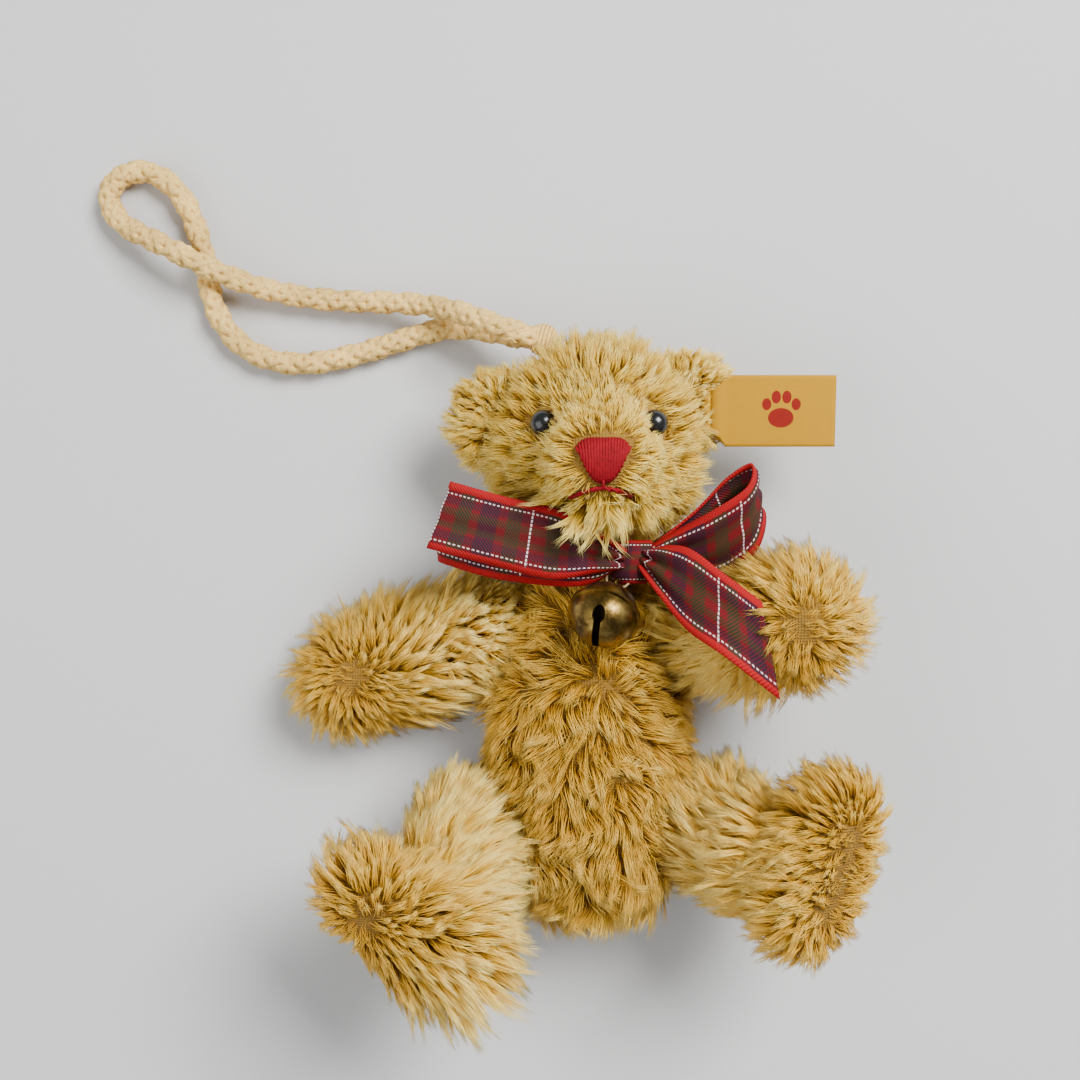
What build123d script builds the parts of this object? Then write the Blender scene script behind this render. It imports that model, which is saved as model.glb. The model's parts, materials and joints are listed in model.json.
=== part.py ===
from build123d import *
import math
import os

# Plush bear keychain, lying on its back. Millimetres, +Z up out of the belly,
# +Y towards the crown, +X to the bear's own left. The origin is on the flat
# of the back, which rests on the table. Every woven piece is modelled without
# its pile, so the pile stands outside these solids.

# ---- cloth, filling and clearances
SKIN = 0.8              # woven backing with the roots of its pile
FIT = 0.1               # gap between a skin and the filling inside it
SOCKET_GAP = 0.3        # gap between a ball root and its dimple in the torso
OUTLINE_STEPS = 18      # straight steps in the outline of a revolved form
SEAM_ANGLE = 25         # keeps the start of each revolved form off the panel seams
REACH = 200             # larger than the whole object, for cutting half spaces

# ---- torso: a pear revolved about an axis parallel to Y
TORSO_LIFT = 11.4
TORSO_BEADS = [(-12.3, 10.7), (-5, 12), (4, 11.7), (14, 10), (20, 7.9), (23.5, 6.3), (26.5, 6), (30, 6)]

# ---- head: a skull with a muzzle, revolved about the face axis
HEAD_CENTRE = Vector(0.9, 39.4, 13.2)
HEAD_TILT = 8           # degrees the face looks down towards the feet
SKULL_RADIUS = 12.8
HEAD_BEADS = [(0, SKULL_RADIUS), (6.5, 11.2), (10.5, 8.6), (14, 7.1), (18.4, 6)]
EYE_RADIUS = 1.7
EYE_PLACE = (7.05, 3.9, 10.4)
GUSSET_WIDTH = 5.2
NOSE_TOP_WIDTH = 6.4
NOSE_BOTTOM_WIDTH = 3.0
NOSE_HEIGHT = 4.9
NOSE_MIDDLE = 0.3
NOSE_CORNER = 0.7
STITCH_WIDTH = 0.55
STITCH_PROUD = 0.5
MUZZLE_START = 15       # distance along the face axis where the muzzle is narrow
MOUTH_APEX = -3.0
MOUTH_END = (3.8, -4.5)

# ---- ears: two-ply half discs, standing on the sides of the skull
EAR_RADIUS = 5.6
EAR_DISTANCE = 13.2
EAR_PLY = 0.8
EAR_PLANE = -1.6        # back face of the back ply, along the face axis
EAR_ANGLES = {"left": 27, "right": 165}

# ---- woven tag on the left ear, hinged on a thread through its hem
TAG_LENGTH = 17
TAG_WIDTH = 9.5
TAG_THICKNESS = 0.3
TAG_HEM_WIDTH = 6
TAG_HEM_RADIUS = 0.55
TAG_NECK_END = 2        # where the flap reaches its full width
TAG_PLACE = (14.8, 4.9)
TAG_THREAD_RADIUS = 0.2
TAG_THREAD_SPAN = 6.9

# ---- arms and legs: surfaces of revolution with a ball root at the joint
ARM_ROOT = 5.3
ARM_BEADS = [(0, ARM_ROOT), (6, 4.6), (11, 4.9), (17, 5.7), (21.4, 5.6)]
ARM_PIVOT = (12.2, 15, 11.6)
ARM_ALONG = {"left": (16.7, 2.4, 20.5), "right": (-26, -8.6, -5.5)}
LEG_ROOT = 6.4
LEG_BEADS = [(0, LEG_ROOT), (5, 5.3), (11, 5.2), (19, 5.3), (22, 5)]
FOOT_BEADS = [(-2, 5.4), (3, 5.7), (8.5, 5)]
FOOT_AXIS = 22.2        # distance from the hip to the axis of the foot
SOLE = 24.8             # distance from the hip to the flat of the sole
LEG_PIVOT = (14.8, -11, 11.4)
LEG_ALONG = {"left": (13.8, -5.7, 19), "right": (-6.3, -12.1, 20.5)}
TOE_TOWARDS = {"left": (0.26, 0.97, 0), "right": (-0.82, 0.57, 0)}

# ---- joint buttons and strings
BUTTONS = {"neck": (3.4, 1.5), "arm": (2.2, 1.2), "leg": (2.8, 1.4)}
BUTTON_GAP = 0.25
STRING_RADIUS = 0.4
NECK_STRING_END = 19
NECK_KNOT_RADIUS = 1.1

# ---- ribbon bow: each strip follows (distance, height) points over a heading in the plane
RIBBON_WIDTH = 9.6
RIBBON_THICKNESS = 0.35
GATHERED_WIDTH = 3.2    # width where a strip is pulled together at the knot
GATHER_LENGTH = 8       # distance over which a strip opens to its full width
HEAD_ROOM = 1.3         # gap that lets the head nod against the bow
HEAD_TURN = 10          # degrees the head turns to each side
COLLAR_RADIUS = 6.55
COLLAR_THICKNESS = 0.8
COLLAR_SPAN = (23.2, 26.8)
KNOT_CENTRE = (5.4, 24.2, 22)
KNOT_RADII = (3.1, 3.2, 3.0)
BOW_HEADINGS = {"right": ((5.4, 24.0), (-0.968, 0.25)), "left": ((5.4, 24.2), (0.84, 0.54)),
                "left_tail": ((5.4, 25.3), (0.805, -0.593))}
BOW_STRIPS = {
    "bow_tail_right": ("right", [(3.4, 24.6), (8.5, 26.9), (16.5, 27), (27, 25)]),
    "bow_loop_right": ("right", [(3.4, 23.5), (9, 24.8), (16.5, 25.2), (24, 23.4), (25.5, 21.9),
                                 (24, 20.4), (16.5, 20.6), (9, 20.8), (3.4, 21.7)]),
    "bow_loop_left": ("left", [(3.3, 23.5), (8, 26.2), (13, 27.6), (17, 26.2), (17.9, 23.6),
                               (16, 21.2), (11, 20.4), (3.3, 21.3)]),
    "bow_tail_left": ("left_tail", [(3.2, 24.6), (6.8, 28), (12.5, 31), (18.5, 32.4), (24.9, 31.3)]),
}
TAIL_CUT = ((20.3, 19.5), (0.982, 0.188))   # a point and the outward side of the slanted end

# ---- jingle bell, hanging from the bow on a thread
BELL_CENTRE = Vector(1.4, 17.7, 27.6)
BELL_AXIS = Vector(-0.3, -0.64, 0.7).normalized()
BELL_RADIUS = 4.2
BELL_WALL = 0.35
BELL_RIM_RADIUS = 4.6
BELL_RIM_HALF = 0.25
BELL_SLOT_WIDTH = 0.9
BELL_SLOT_REACH = 2.9
BELL_SLOT_DEPTH = 3.6   # how far the slot and its end holes reach up from the lower pole
BELL_HOLE_RADIUS = 0.8
SHANK_DISTANCE = 5.0
SHANK_RING = (1.0, 0.3)
THREAD_RING = (1.5, 0.15)
PELLET_RADIUS = 1.3
PELLET_OFFSET = -2.35

# ---- hanging cord: one braided cord, folded into a loop and crossed once
CORD_RADIUS = 1.62
CORD_ENTRY = Vector(-0.41, 0.87, -0.27).normalized()
CORD_PIVOT_DISTANCE = 17.2
CORD_START = 2.95
CORD_HALF_PITCH = 1.68
CORD_DIRECTION = Vector(-0.979, 0.205, 0).normalized()
CORD_LOOP = [(-20.7, 59.3, 5.8), (-28.5, 60.4, 3.2), (-36.3, 60.9, 2.2), (-47.6, 63, 3.4),
             (-54.6, 65.8, 5.3), (-61.7, 69.4, 3.8), (-66.6, 72.9, 1.9), (-67.5, 76, 1.7),
             (-65.4, 78.6, 1.7), (-61.6, 78.9, 1.7), (-58, 76.4, 1.7), (-55.2, 71, 1.7),
             (-53.9, 65.8, 1.7), (-52.2, 59, 1.7), (-48, 54, 1.7), (-41.9, 52, 1.7),
             (-34.8, 52.7, 1.7), (-26.8, 55, 1.9), (-19.3, 56.8, 2.5)]
WHIPPING_RADIUS = 2.7
WHIPPING_GAP = 0.2      # between the neck of the cord's end and the whipping
CORD_NECK_RADIUS = 2.4
CORD_KNOT_RADIUS = 3.2
CORD_KNOT_DISTANCE = 6.8


# ---------------------------------------------------------------- helpers

def mirrored(place, side):
    """A place given for the left side, moved to the side named."""
    sign = 1 if side == "left" else -1
    return Vector(sign * place[0], place[1], place[2])


def outline_points(beads, inset, open_end):
    """Points (radius, height) round a row of beads: arcs at the ends, widths between."""
    points = [bead_point(beads[0], angle, inset) for angle in (180, 150, 120, 90)]
    points += [(radius - inset, height) for height, radius in beads[1:-1]]
    ending = (90,) if open_end else (90, 60, 30, 0)
    return points + [bead_point(beads[-1], angle, inset) for angle in ending]


def bead_point(bead, angle, inset):
    """The point of a bead's circle at an angle from the far end of the axis."""
    height, radius = bead[0], bead[1] - inset
    return (radius * math.sin(math.radians(angle)), height + radius * math.cos(math.radians(angle)))


def revolved(beads, inset=0.0, open_end=False):
    """A form revolved about Y round beads (height, radius), moved inward by inset."""
    curve = Spline(*outline_points(beads, inset, open_end))
    stops = [curve.position_at(step / OUTLINE_STEPS) for step in range(OUTLINE_STEPS + 1)]
    rim = stops[1:] if open_end else stops[1:-1]
    loop = Polyline((0, stops[0].Y), *rim, (0, stops[-1].Y), close=True)
    return Rot(0, SEAM_ANGLE, 0) * revolve(make_face(loop), Axis.Y)


def ball(centre, radius):
    """A sphere about a place."""
    return Pos(*centre) * Sphere(radius)


def rod(start, end, radius):
    """A round rod between two places."""
    start, end = Vector(*start), Vector(*end)
    length = (end - start).length
    frame = Plane(origin=(start + end) / 2, z_dir=end - start)
    return frame * Cylinder(radius, length)


def half_space(plane):
    """Everything on the normal side of a plane."""
    return plane * Pos(0, 0, REACH / 2) * Box(REACH, REACH, REACH)


def aligned(origin, along, towards):
    """A frame at origin with Y along a limb and Z as close as can be to a direction."""
    y_dir = Vector(*along).normalized()
    towards = Vector(*towards)
    z_dir = (towards - y_dir * towards.dot(y_dir)).normalized()
    return Plane(origin=origin, x_dir=y_dir.cross(z_dir), z_dir=z_dir)


def without(form, cutters):
    """A form with every cutter taken away in turn."""
    for cutter in cutters:
        form -= cutter
    return form


def panels(form, plane, *cavities):
    """A form cut in two by a plane, each side hollowed: the normal side comes first."""
    return [without(side, cavities) for side in (form & half_space(plane), form - half_space(plane))]


def save(node, *shapes):
    """Writes one node as a STEP file, made of one or more separate solids."""
    solids = [solid for shape in shapes for solid in shape.solids()]
    export_step(Compound(solids) if len(solids) > 1 else solids[0], f"parts/{node}.step")


# ---------------------------------------------------------------- frames of the joints

head_frame = Plane(origin=HEAD_CENTRE, x_dir=(1, 0, 0),
                   z_dir=Vector(0, 0, 1).rotate(Axis.X, HEAD_TILT))
arm_frames = {side: aligned(mirrored(ARM_PIVOT, side), ARM_ALONG[side], (0, 0, 1))
              for side in ("left", "right")}
leg_frames = {side: aligned(mirrored(LEG_PIVOT, side), LEG_ALONG[side], TOE_TOWARDS[side])
              for side in ("left", "right")}
cord_pivot = HEAD_CENTRE + CORD_ENTRY * CORD_PIVOT_DISTANCE


# ---------------------------------------------------------------- torso

def torso_form(inset):
    """The torso with its flat back and a dimple for the head and for each limb."""
    form = Pos(0, 0, TORSO_LIFT) * revolved(TORSO_BEADS, inset, open_end=True)
    form -= half_space(Plane(origin=(0, 0, inset), z_dir=(0, 0, -1)))
    return without(form, socket_balls(SOCKET_GAP + inset))


def torso_strings(radius):
    """The strings that pull the arms, the legs and the head against the torso."""
    knot = (HEAD_CENTRE.X, NECK_STRING_END, TORSO_LIFT)
    knot_radius = NECK_KNOT_RADIUS + radius - STRING_RADIUS
    return {"arm_string": rod(mirrored(ARM_PIVOT, "left"), mirrored(ARM_PIVOT, "right"), radius),
            "leg_string": rod(mirrored(LEG_PIVOT, "left"), mirrored(LEG_PIVOT, "right"), radius),
            "neck_string": rod(knot, HEAD_CENTRE, radius) + ball(knot, knot_radius)}


def socket_balls(gap):
    """The balls that hollow the torso for the head and the limbs."""
    balls = [ball(HEAD_CENTRE, SKULL_RADIUS + gap)]
    for side in ("left", "right"):
        balls.append(ball(mirrored(ARM_PIVOT, side), ARM_ROOT + gap))
        balls.append(ball(mirrored(LEG_PIVOT, side), LEG_ROOT + gap))
    return balls


def build_torso():
    """Two body panels, the filling and the joint strings."""
    channels = torso_strings(STRING_RADIUS + FIT).values()
    left, right = panels(torso_form(0), Plane.YZ, torso_form(SKIN), *channels)
    save("torso_left_panel", left)
    save("torso_right_panel", right)
    save("torso_stuffing", without(torso_form(SKIN + FIT), channels))
    for node, string in torso_strings(STRING_RADIUS).items():
        save(node, without(string, socket_balls(SOCKET_GAP)))


def button(kind, frame):
    """A flat joint button lying across its string."""
    radius, thickness = BUTTONS[kind]
    return frame * Cylinder(radius, thickness)


def button_room(kind):
    """The ball-shaped room that a joint button turns in."""
    radius, thickness = BUTTONS[kind]
    return Sphere(math.hypot(radius, thickness / 2) + BUTTON_GAP)


# ---------------------------------------------------------------- head

def eye_places():
    """The centres of both eye beads in the head's frame, bear's left first."""
    x, y, z = EYE_PLACE
    return {"left": (x, y, z), "right": (-x, y, z)}


def nose_outline():
    """A trapezium with its wide side up."""
    top = NOSE_MIDDLE + NOSE_HEIGHT / 2
    bottom = NOSE_MIDDLE - NOSE_HEIGHT / 2
    corners = [(-NOSE_TOP_WIDTH / 2, top), (NOSE_TOP_WIDTH / 2, top),
               (NOSE_BOTTOM_WIDTH / 2, bottom), (-NOSE_BOTTOM_WIDTH / 2, bottom)]
    shape = make_face(Polyline(*corners, close=True))
    return fillet(shape.vertices(), NOSE_CORNER)


def mouth_outline():
    """Two stitched lines that fall away from a point under the nose."""
    end_x, end_y = MOUTH_END
    half = STITCH_WIDTH / 2
    corners = [(0, MOUTH_APEX + half), (end_x, end_y + half), (end_x, end_y - half),
               (0, MOUTH_APEX - half), (-end_x, end_y - half), (-end_x, end_y + half)]
    return make_face(Polyline(*corners, close=True))


def cord_channel(radius, knot_radius, start, end):
    """The hanging cord's end inside the head: a neck and the knot that holds it."""
    inner = HEAD_CENTRE + CORD_ENTRY * start
    outer = HEAD_CENTRE + CORD_ENTRY * end
    return rod(inner, outer, radius) + ball(inner, knot_radius)


def ear_plies(side):
    """The front and back ply of one ear, in the head's frame."""
    angle = math.radians(EAR_ANGLES[side])
    centre = (EAR_DISTANCE * math.cos(angle), EAR_DISTANCE * math.sin(angle))
    plies = {}
    for row, ply in enumerate(("back", "front")):
        height = EAR_PLANE + EAR_PLY * (row + 0.5)
        disc = Pos(centre[0], centre[1], height) * Cylinder(EAR_RADIUS, EAR_PLY)
        plies[ply] = disc - head_form(-FIT)
    return plies


def head_turned(form):
    """A form revolved about Y, turned so that its axis is the face axis."""
    return Rot(90, 0, 0) * form


def head_form(inset):
    """The head in its own frame, with the face along Z."""
    return head_turned(revolved(HEAD_BEADS, inset))


def build_head_shell():
    """Gusset, two side panels and the filling, with room for eyes, cord and button."""
    rooms = [ball(place, EYE_RADIUS + FIT) for place in eye_places().values()]
    rooms.append(head_frame.location.inverse() * cord_channel(CORD_NECK_RADIUS + FIT, CORD_KNOT_RADIUS + FIT,
                                                              CORD_KNOT_DISTANCE, CORD_PIVOT_DISTANCE))
    save("head_stuffing", head_frame * without(head_form(SKIN + FIT), [button_room("neck"), *rooms]))
    band = Pos(0, NOSE_MIDDLE + REACH / 2, 0) * Box(GUSSET_WIDTH, REACH, REACH)
    rooms.append(head_form(SKIN))
    save("head_gusset", head_frame * without(head_form(0) & band, rooms))
    left, right = panels(head_form(0), Plane.YZ, band, *rooms)
    save("head_left_panel", head_frame * left)
    save("head_right_panel", head_frame * right)


def build_face():
    """Eye beads, embroidered nose and stitched mouth."""
    for side, place in eye_places().items():
        save(f"eye_{side}", head_frame * ball(place, EYE_RADIUS))
    thread = head_form(-STITCH_PROUD) - head_form(-FIT / 2)
    front = Pos(0, 0, MUZZLE_START)
    save("nose_embroidery", head_frame * (thread & front * extrude(nose_outline(), MUZZLE_START)))
    save("mouth_stitches", head_frame * (thread & front * extrude(mouth_outline(), MUZZLE_START)))


def build_ears():
    """Both ears, each of a front and a back ply."""
    for side in ("left", "right"):
        for ply, shape in ear_plies(side).items():
            ear = head_frame * shape
            if side == "left":
                ear -= tag_thread(TAG_THREAD_RADIUS + FIT)
            save(f"ear_{side}_{ply}", ear)


# ---------------------------------------------------------------- tag

def tag_frame():
    """The tag's own frame: X along the tag, Z off the ear, origin on the hem's axis."""
    ear_face = EAR_PLANE + 2 * EAR_PLY
    return head_frame * Pos(TAG_PLACE[0], TAG_PLACE[1], ear_face + TAG_HEM_RADIUS + FIT)


def tag_thread(radius):
    """The staple-shaped thread that the tag's hem turns on."""
    half = TAG_THREAD_SPAN / 2
    depth = -TAG_HEM_RADIUS - FIT - 2 * EAR_PLY
    bar = rod((0, -half, 0), (0, half, 0), radius)
    for y in (-half, half):
        bar += rod((0, y, depth), (0, y, 0), radius)
        bar += ball((0, y, 0), radius)
    return tag_frame() * bar


def build_tag():
    """The woven tag with its rolled hem, and its thread."""
    hem = Rot(90, 0, 0) * Cylinder(TAG_HEM_RADIUS, TAG_HEM_WIDTH)
    middle = (TAG_LENGTH + TAG_NECK_END) / 2
    flap = Pos(middle, 0, 0) * Box(TAG_LENGTH - TAG_NECK_END, TAG_WIDTH, TAG_THICKNESS)
    neck = Pos(TAG_NECK_END / 2, 0, 0) * Box(TAG_NECK_END + FIT, TAG_HEM_WIDTH, TAG_THICKNESS)
    bore = Rot(90, 0, 0) * Cylinder(TAG_THREAD_RADIUS + FIT, TAG_WIDTH)
    save("ear_tag", tag_frame() * (hem + flap + neck - bore))
    save("tag_thread", tag_thread(TAG_THREAD_RADIUS))


# ---------------------------------------------------------------- limbs

def build_arm(side):
    """Two panels, the filling and the joint button of one arm."""
    frame = arm_frames[side]
    inner, outer = panels(revolved(ARM_BEADS), Plane.XY, revolved(ARM_BEADS, SKIN))
    save(f"arm_{side}_inner_panel", frame * inner)
    save(f"arm_{side}_outer_panel", frame * outer)
    save(f"arm_{side}_stuffing", frame * (revolved(ARM_BEADS, SKIN + FIT) - button_room("arm")))
    save(f"arm_{side}_button", button("arm", Plane(origin=frame.origin, z_dir=(1, 0, 0))))


def leg_form(inset):
    """A leg with its foot, cut flat at the sole."""
    foot = Pos(0, FOOT_AXIS, 0) * Rot(90, 0, 0) * revolved(FOOT_BEADS, inset)
    form = revolved(LEG_BEADS, inset) + foot
    return form - half_space(Plane(origin=(0, SOLE - inset, 0), z_dir=(0, 1, 0)))


def build_leg(side):
    """Two side panels, the sole, the filling and the joint button of one leg."""
    frame = leg_frames[side]
    beyond = half_space(Plane(origin=(0, SOLE - SKIN, 0), z_dir=(0, 1, 0)))
    sole = leg_form(0) & beyond
    left_half, right_half = panels(leg_form(0) - beyond, Plane.YZ, leg_form(SKIN))
    towards_middle = frame.x_dir.X * (1 if side == "left" else -1) < 0
    inner, outer = (left_half, right_half) if towards_middle else (right_half, left_half)
    save(f"leg_{side}_inner_panel", frame * inner)
    save(f"leg_{side}_outer_panel", frame * outer)
    save(f"leg_{side}_sole", frame * sole)
    save(f"leg_{side}_stuffing", frame * (leg_form(SKIN + FIT) - button_room("leg")))
    save(f"leg_{side}_button", button("leg", Plane(origin=frame.origin, z_dir=(1, 0, 0))))


# ---------------------------------------------------------------- ribbon bow

def strip(path, width, origin, direction):
    """A ribbon along (distance, height) points, laid over a direction in the plane."""
    heading = Vector(direction[0], direction[1], 0).normalized()
    frame = Plane(origin=(origin[0], origin[1], 0), x_dir=heading, z_dir=heading.cross(Vector(0, 0, 1)))
    middle = Spline(*path)
    tape = trace(middle, RIBBON_THICKNESS)
    return frame * Pos(0, 0, -width / 2) * extrude(tape, width)


def gather(origin, direction):
    """A tall prism whose plan is a strip: narrow at the knot, then full width."""
    heading = Vector(direction[0], direction[1], 0)
    frame = Plane(origin=(origin[0], origin[1], 0), x_dir=heading, z_dir=(0, 0, 1))
    narrow, wide = GATHERED_WIDTH / 2, RIBBON_WIDTH / 2
    corners = [(0, -narrow), (GATHER_LENGTH, -wide), (REACH, -wide),
               (REACH, wide), (GATHER_LENGTH, wide), (0, narrow)]
    return frame * extrude(make_face(Polyline(*corners, close=True)), REACH)


def head_sweep():
    """The head, a little enlarged, in its middle and at both ends of its turn."""
    enlarged = head_frame * head_form(-HEAD_ROOM)
    swing = Axis(HEAD_CENTRE, (0, 1, 0))
    return [enlarged.rotate(swing, angle) for angle in (-HEAD_TURN, 0, HEAD_TURN)]


def build_bow():
    """Collar round the neck, knot, two loops and two tails."""
    span = COLLAR_SPAN[1] - COLLAR_SPAN[0]
    place = Pos(0, sum(COLLAR_SPAN) / 2, TORSO_LIFT) * Rot(90, 0, 0)
    outer = COLLAR_RADIUS + COLLAR_THICKNESS
    save("ribbon_collar", place * (Cylinder(outer, span) - Cylinder(COLLAR_RADIUS, span)))
    collar_room = place * Cylinder(outer + FIT, span + 2 * FIT)
    torso_room = Pos(0, 0, TORSO_LIFT) * revolved(TORSO_BEADS, -FIT, open_end=True)
    ring_room = thread_ring(THREAD_RING[1] + FIT)
    knot = Pos(*KNOT_CENTRE) * scale(Sphere(1), by=KNOT_RADII)
    save("bow_knot", without(knot, [collar_room, torso_room, ring_room]))
    knot_room = Pos(*KNOT_CENTRE) * scale(Sphere(1), by=tuple(radius + FIT for radius in KNOT_RADII))
    end_point, outward = TAIL_CUT
    for node, (heading, path) in BOW_STRIPS.items():
        origin, direction = BOW_HEADINGS[heading]
        tape = strip(path, RIBBON_WIDTH, origin, direction) & gather(origin, direction)
        tape = without(tape, [knot_room, ring_room, *head_sweep()])
        if node == "bow_tail_left":
            tape -= half_space(Plane(origin=(*end_point, 0), z_dir=(*outward, 0)))
        save(node, tape)


# ---------------------------------------------------------------- bell

shank_centre = BELL_CENTRE - BELL_AXIS * SHANK_DISTANCE
swing_axis = BELL_AXIS.cross(Vector(0, BELL_AXIS.Z, -BELL_AXIS.Y)).normalized()


def thread_ring(radius):
    """The thread that runs through the shank and into the knot."""
    to_knot = Vector(*KNOT_CENTRE) - shank_centre
    inward = (to_knot - swing_axis * to_knot.dot(swing_axis)).normalized()
    frame = Plane(origin=shank_centre + inward * THREAD_RING[0], z_dir=inward.cross(swing_axis))
    return frame * Torus(THREAD_RING[0], radius)


def build_bell():
    """Two pressed half shells, the shank, the pellet and the thread."""
    frame = Plane(origin=BELL_CENTRE, z_dir=BELL_AXIS)
    rim = Cylinder(BELL_RIM_RADIUS, 2 * BELL_RIM_HALF)
    form = Sphere(BELL_RADIUS) + rim
    cutter = Pos(0, 0, BELL_RADIUS) * Box(2 * BELL_SLOT_REACH, BELL_SLOT_WIDTH, 2 * BELL_SLOT_DEPTH)
    for x in (-BELL_SLOT_REACH, BELL_SLOT_REACH):
        cutter += Pos(x, 0, BELL_RADIUS) * Cylinder(BELL_HOLE_RADIUS, 2 * BELL_SLOT_DEPTH)
    lower, upper = panels(form, Plane.XY, Sphere(BELL_RADIUS - BELL_WALL))
    save("bell_lower_shell", frame * (lower - cutter))
    save("bell_upper_shell", frame * upper)
    ring_frame = Plane(origin=shank_centre, z_dir=swing_axis)
    shank = ring_frame * Torus(*SHANK_RING) - ball(BELL_CENTRE, BELL_RADIUS + 0.01)
    save("bell_shank", shank)
    save("bell_pellet", ball(BELL_CENTRE + BELL_AXIS * PELLET_OFFSET, PELLET_RADIUS))
    save("bell_thread", thread_ring(THREAD_RING[1]))


# ---------------------------------------------------------------- hanging cord

def build_cord():
    """The cord's end in the head, its whipping and the loop that hangs outside."""
    neck_end = CORD_PIVOT_DISTANCE - WHIPPING_RADIUS - WHIPPING_GAP
    root = cord_channel(CORD_NECK_RADIUS, CORD_KNOT_RADIUS, CORD_KNOT_DISTANCE, neck_end)
    save("cord_root", root - ball(HEAD_CENTRE, math.hypot(*BUTTONS["neck"]) + BUTTON_GAP))
    save("cord_whipping", ball(cord_pivot, WHIPPING_RADIUS))
    lead = cord_pivot + CORD_DIRECTION * CORD_START
    rise = Vector(0, 0, CORD_HALF_PITCH)
    path = Spline(lead + rise, *CORD_LOOP, lead - rise, tangents=(CORD_DIRECTION, -CORD_DIRECTION))
    save("hang_cord", sweep(Plane(origin=path @ 0, z_dir=path % 0) * Circle(CORD_RADIUS), path))


# ---------------------------------------------------------------- everything

os.makedirs("parts", exist_ok=True)
build_torso()
build_head_shell()
build_face()
build_ears()
build_tag()
save("neck_button", button("neck", Plane(origin=HEAD_CENTRE, z_dir=(0, 1, 0))))
for body_side in ("left", "right"):
    build_arm(body_side)
    build_leg(body_side)
build_bow()
build_bell()
build_cord()
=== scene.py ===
import json
import math

import bmesh
import bpy
import numpy as np
from mathutils import Matrix, Vector, kdtree
from mathutils.bvhtree import BVHTree


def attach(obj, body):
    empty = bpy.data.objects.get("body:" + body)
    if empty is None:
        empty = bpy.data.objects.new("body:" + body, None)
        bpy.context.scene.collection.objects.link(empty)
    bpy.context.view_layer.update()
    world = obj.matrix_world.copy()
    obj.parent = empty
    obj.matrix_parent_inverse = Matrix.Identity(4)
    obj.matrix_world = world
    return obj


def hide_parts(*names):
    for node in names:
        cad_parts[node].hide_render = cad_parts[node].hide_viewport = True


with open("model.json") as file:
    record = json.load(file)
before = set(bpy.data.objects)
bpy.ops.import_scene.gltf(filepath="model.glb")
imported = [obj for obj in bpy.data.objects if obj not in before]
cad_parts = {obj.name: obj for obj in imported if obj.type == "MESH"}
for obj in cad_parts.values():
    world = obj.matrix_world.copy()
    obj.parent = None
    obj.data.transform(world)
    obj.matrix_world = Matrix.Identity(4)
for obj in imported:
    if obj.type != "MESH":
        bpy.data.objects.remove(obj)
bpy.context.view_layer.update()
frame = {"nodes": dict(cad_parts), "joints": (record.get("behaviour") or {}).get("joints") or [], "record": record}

# A jointed mohair bear on a hanging cord, lying on its back. Objects are in metres.
# Pieces are set from the frame's nodes and joints. The bow, the cord's way, the face
# and the fur's lengths are given in millimetres, and scaled with MM.

MM = 0.001
UP = Vector((0, 0, 1))
FLOOR_LEVEL = -0.3 * MM
RIBBON_HALF_WIDTH = 4.8              # of the flat ribbon, in millimetres
RIBBON_THICKNESS = 0.3 * MM
SIMULATED_SCALE = 20                 # cloth simulation works on a skin this much enlarged
SIMULATED_FRAMES = 20
STRAND_RADIUS = 0.05 * MM
STRAND_CLEARANCE = 0.35 * MM         # a strand rooted nearer than this to an obstacle is left out
STRANDS_PER_PIECE = 12000
STRANDS_PER_CLUMP = 13

nodes = frame["nodes"]
joints = {joint["name"]: joint for joint in frame["joints"]}


# ---------------- places

def pivot(joint):
    """Where a hinge turns, at rest."""
    return Vector(joints[joint]["pos_m"])


def threes(items, attribute, kind=np.float64):
    """An attribute of three numbers that many mesh elements have, as an array."""
    flat = np.empty(len(items) * 3, kind)
    items.foreach_get(attribute, flat)
    return flat.reshape(-1, 3)


def corners(*names):
    """Every vertex of some CAD nodes, as an array."""
    return np.concatenate([threes(nodes[name].data.vertices, "co", np.float32) for name in names])


def middle(*names):
    """The centre of the box round some CAD nodes."""
    points = corners(*names)
    return Vector((points.min(0) + points.max(0)) / 2)


def farthest(start, *names):
    """The vertex of some CAD nodes that is farthest from a place."""
    points = corners(*names)
    distances = np.linalg.norm(points - np.array(start), axis=1)
    return Vector(points[distances.argmax()])


HEAD = pivot("head_nod")


# ---------------- meshes

def link(obj):
    """Puts a new object in the scene."""
    bpy.context.scene.collection.objects.link(obj)
    return obj


def object_from(name, points, faces, material):
    """A smooth-shaded mesh object from points and faces."""
    mesh = bpy.data.meshes.new(name)
    mesh.from_pydata([tuple(point) for point in points], [], faces)
    mesh.validate()
    obj = link(bpy.data.objects.new(name, mesh))
    mesh.materials.append(material)
    mesh.polygons.foreach_set("use_smooth", [True] * len(mesh.polygons))
    return obj


def apply_modifiers(obj):
    """Bakes an object's modifiers into its mesh."""
    depsgraph = bpy.context.evaluated_depsgraph_get()
    mesh = bpy.data.meshes.new_from_object(obj.evaluated_get(depsgraph))
    obj.modifiers.clear()
    old = obj.data
    obj.data = mesh
    bpy.data.meshes.remove(old)
    return obj


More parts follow.
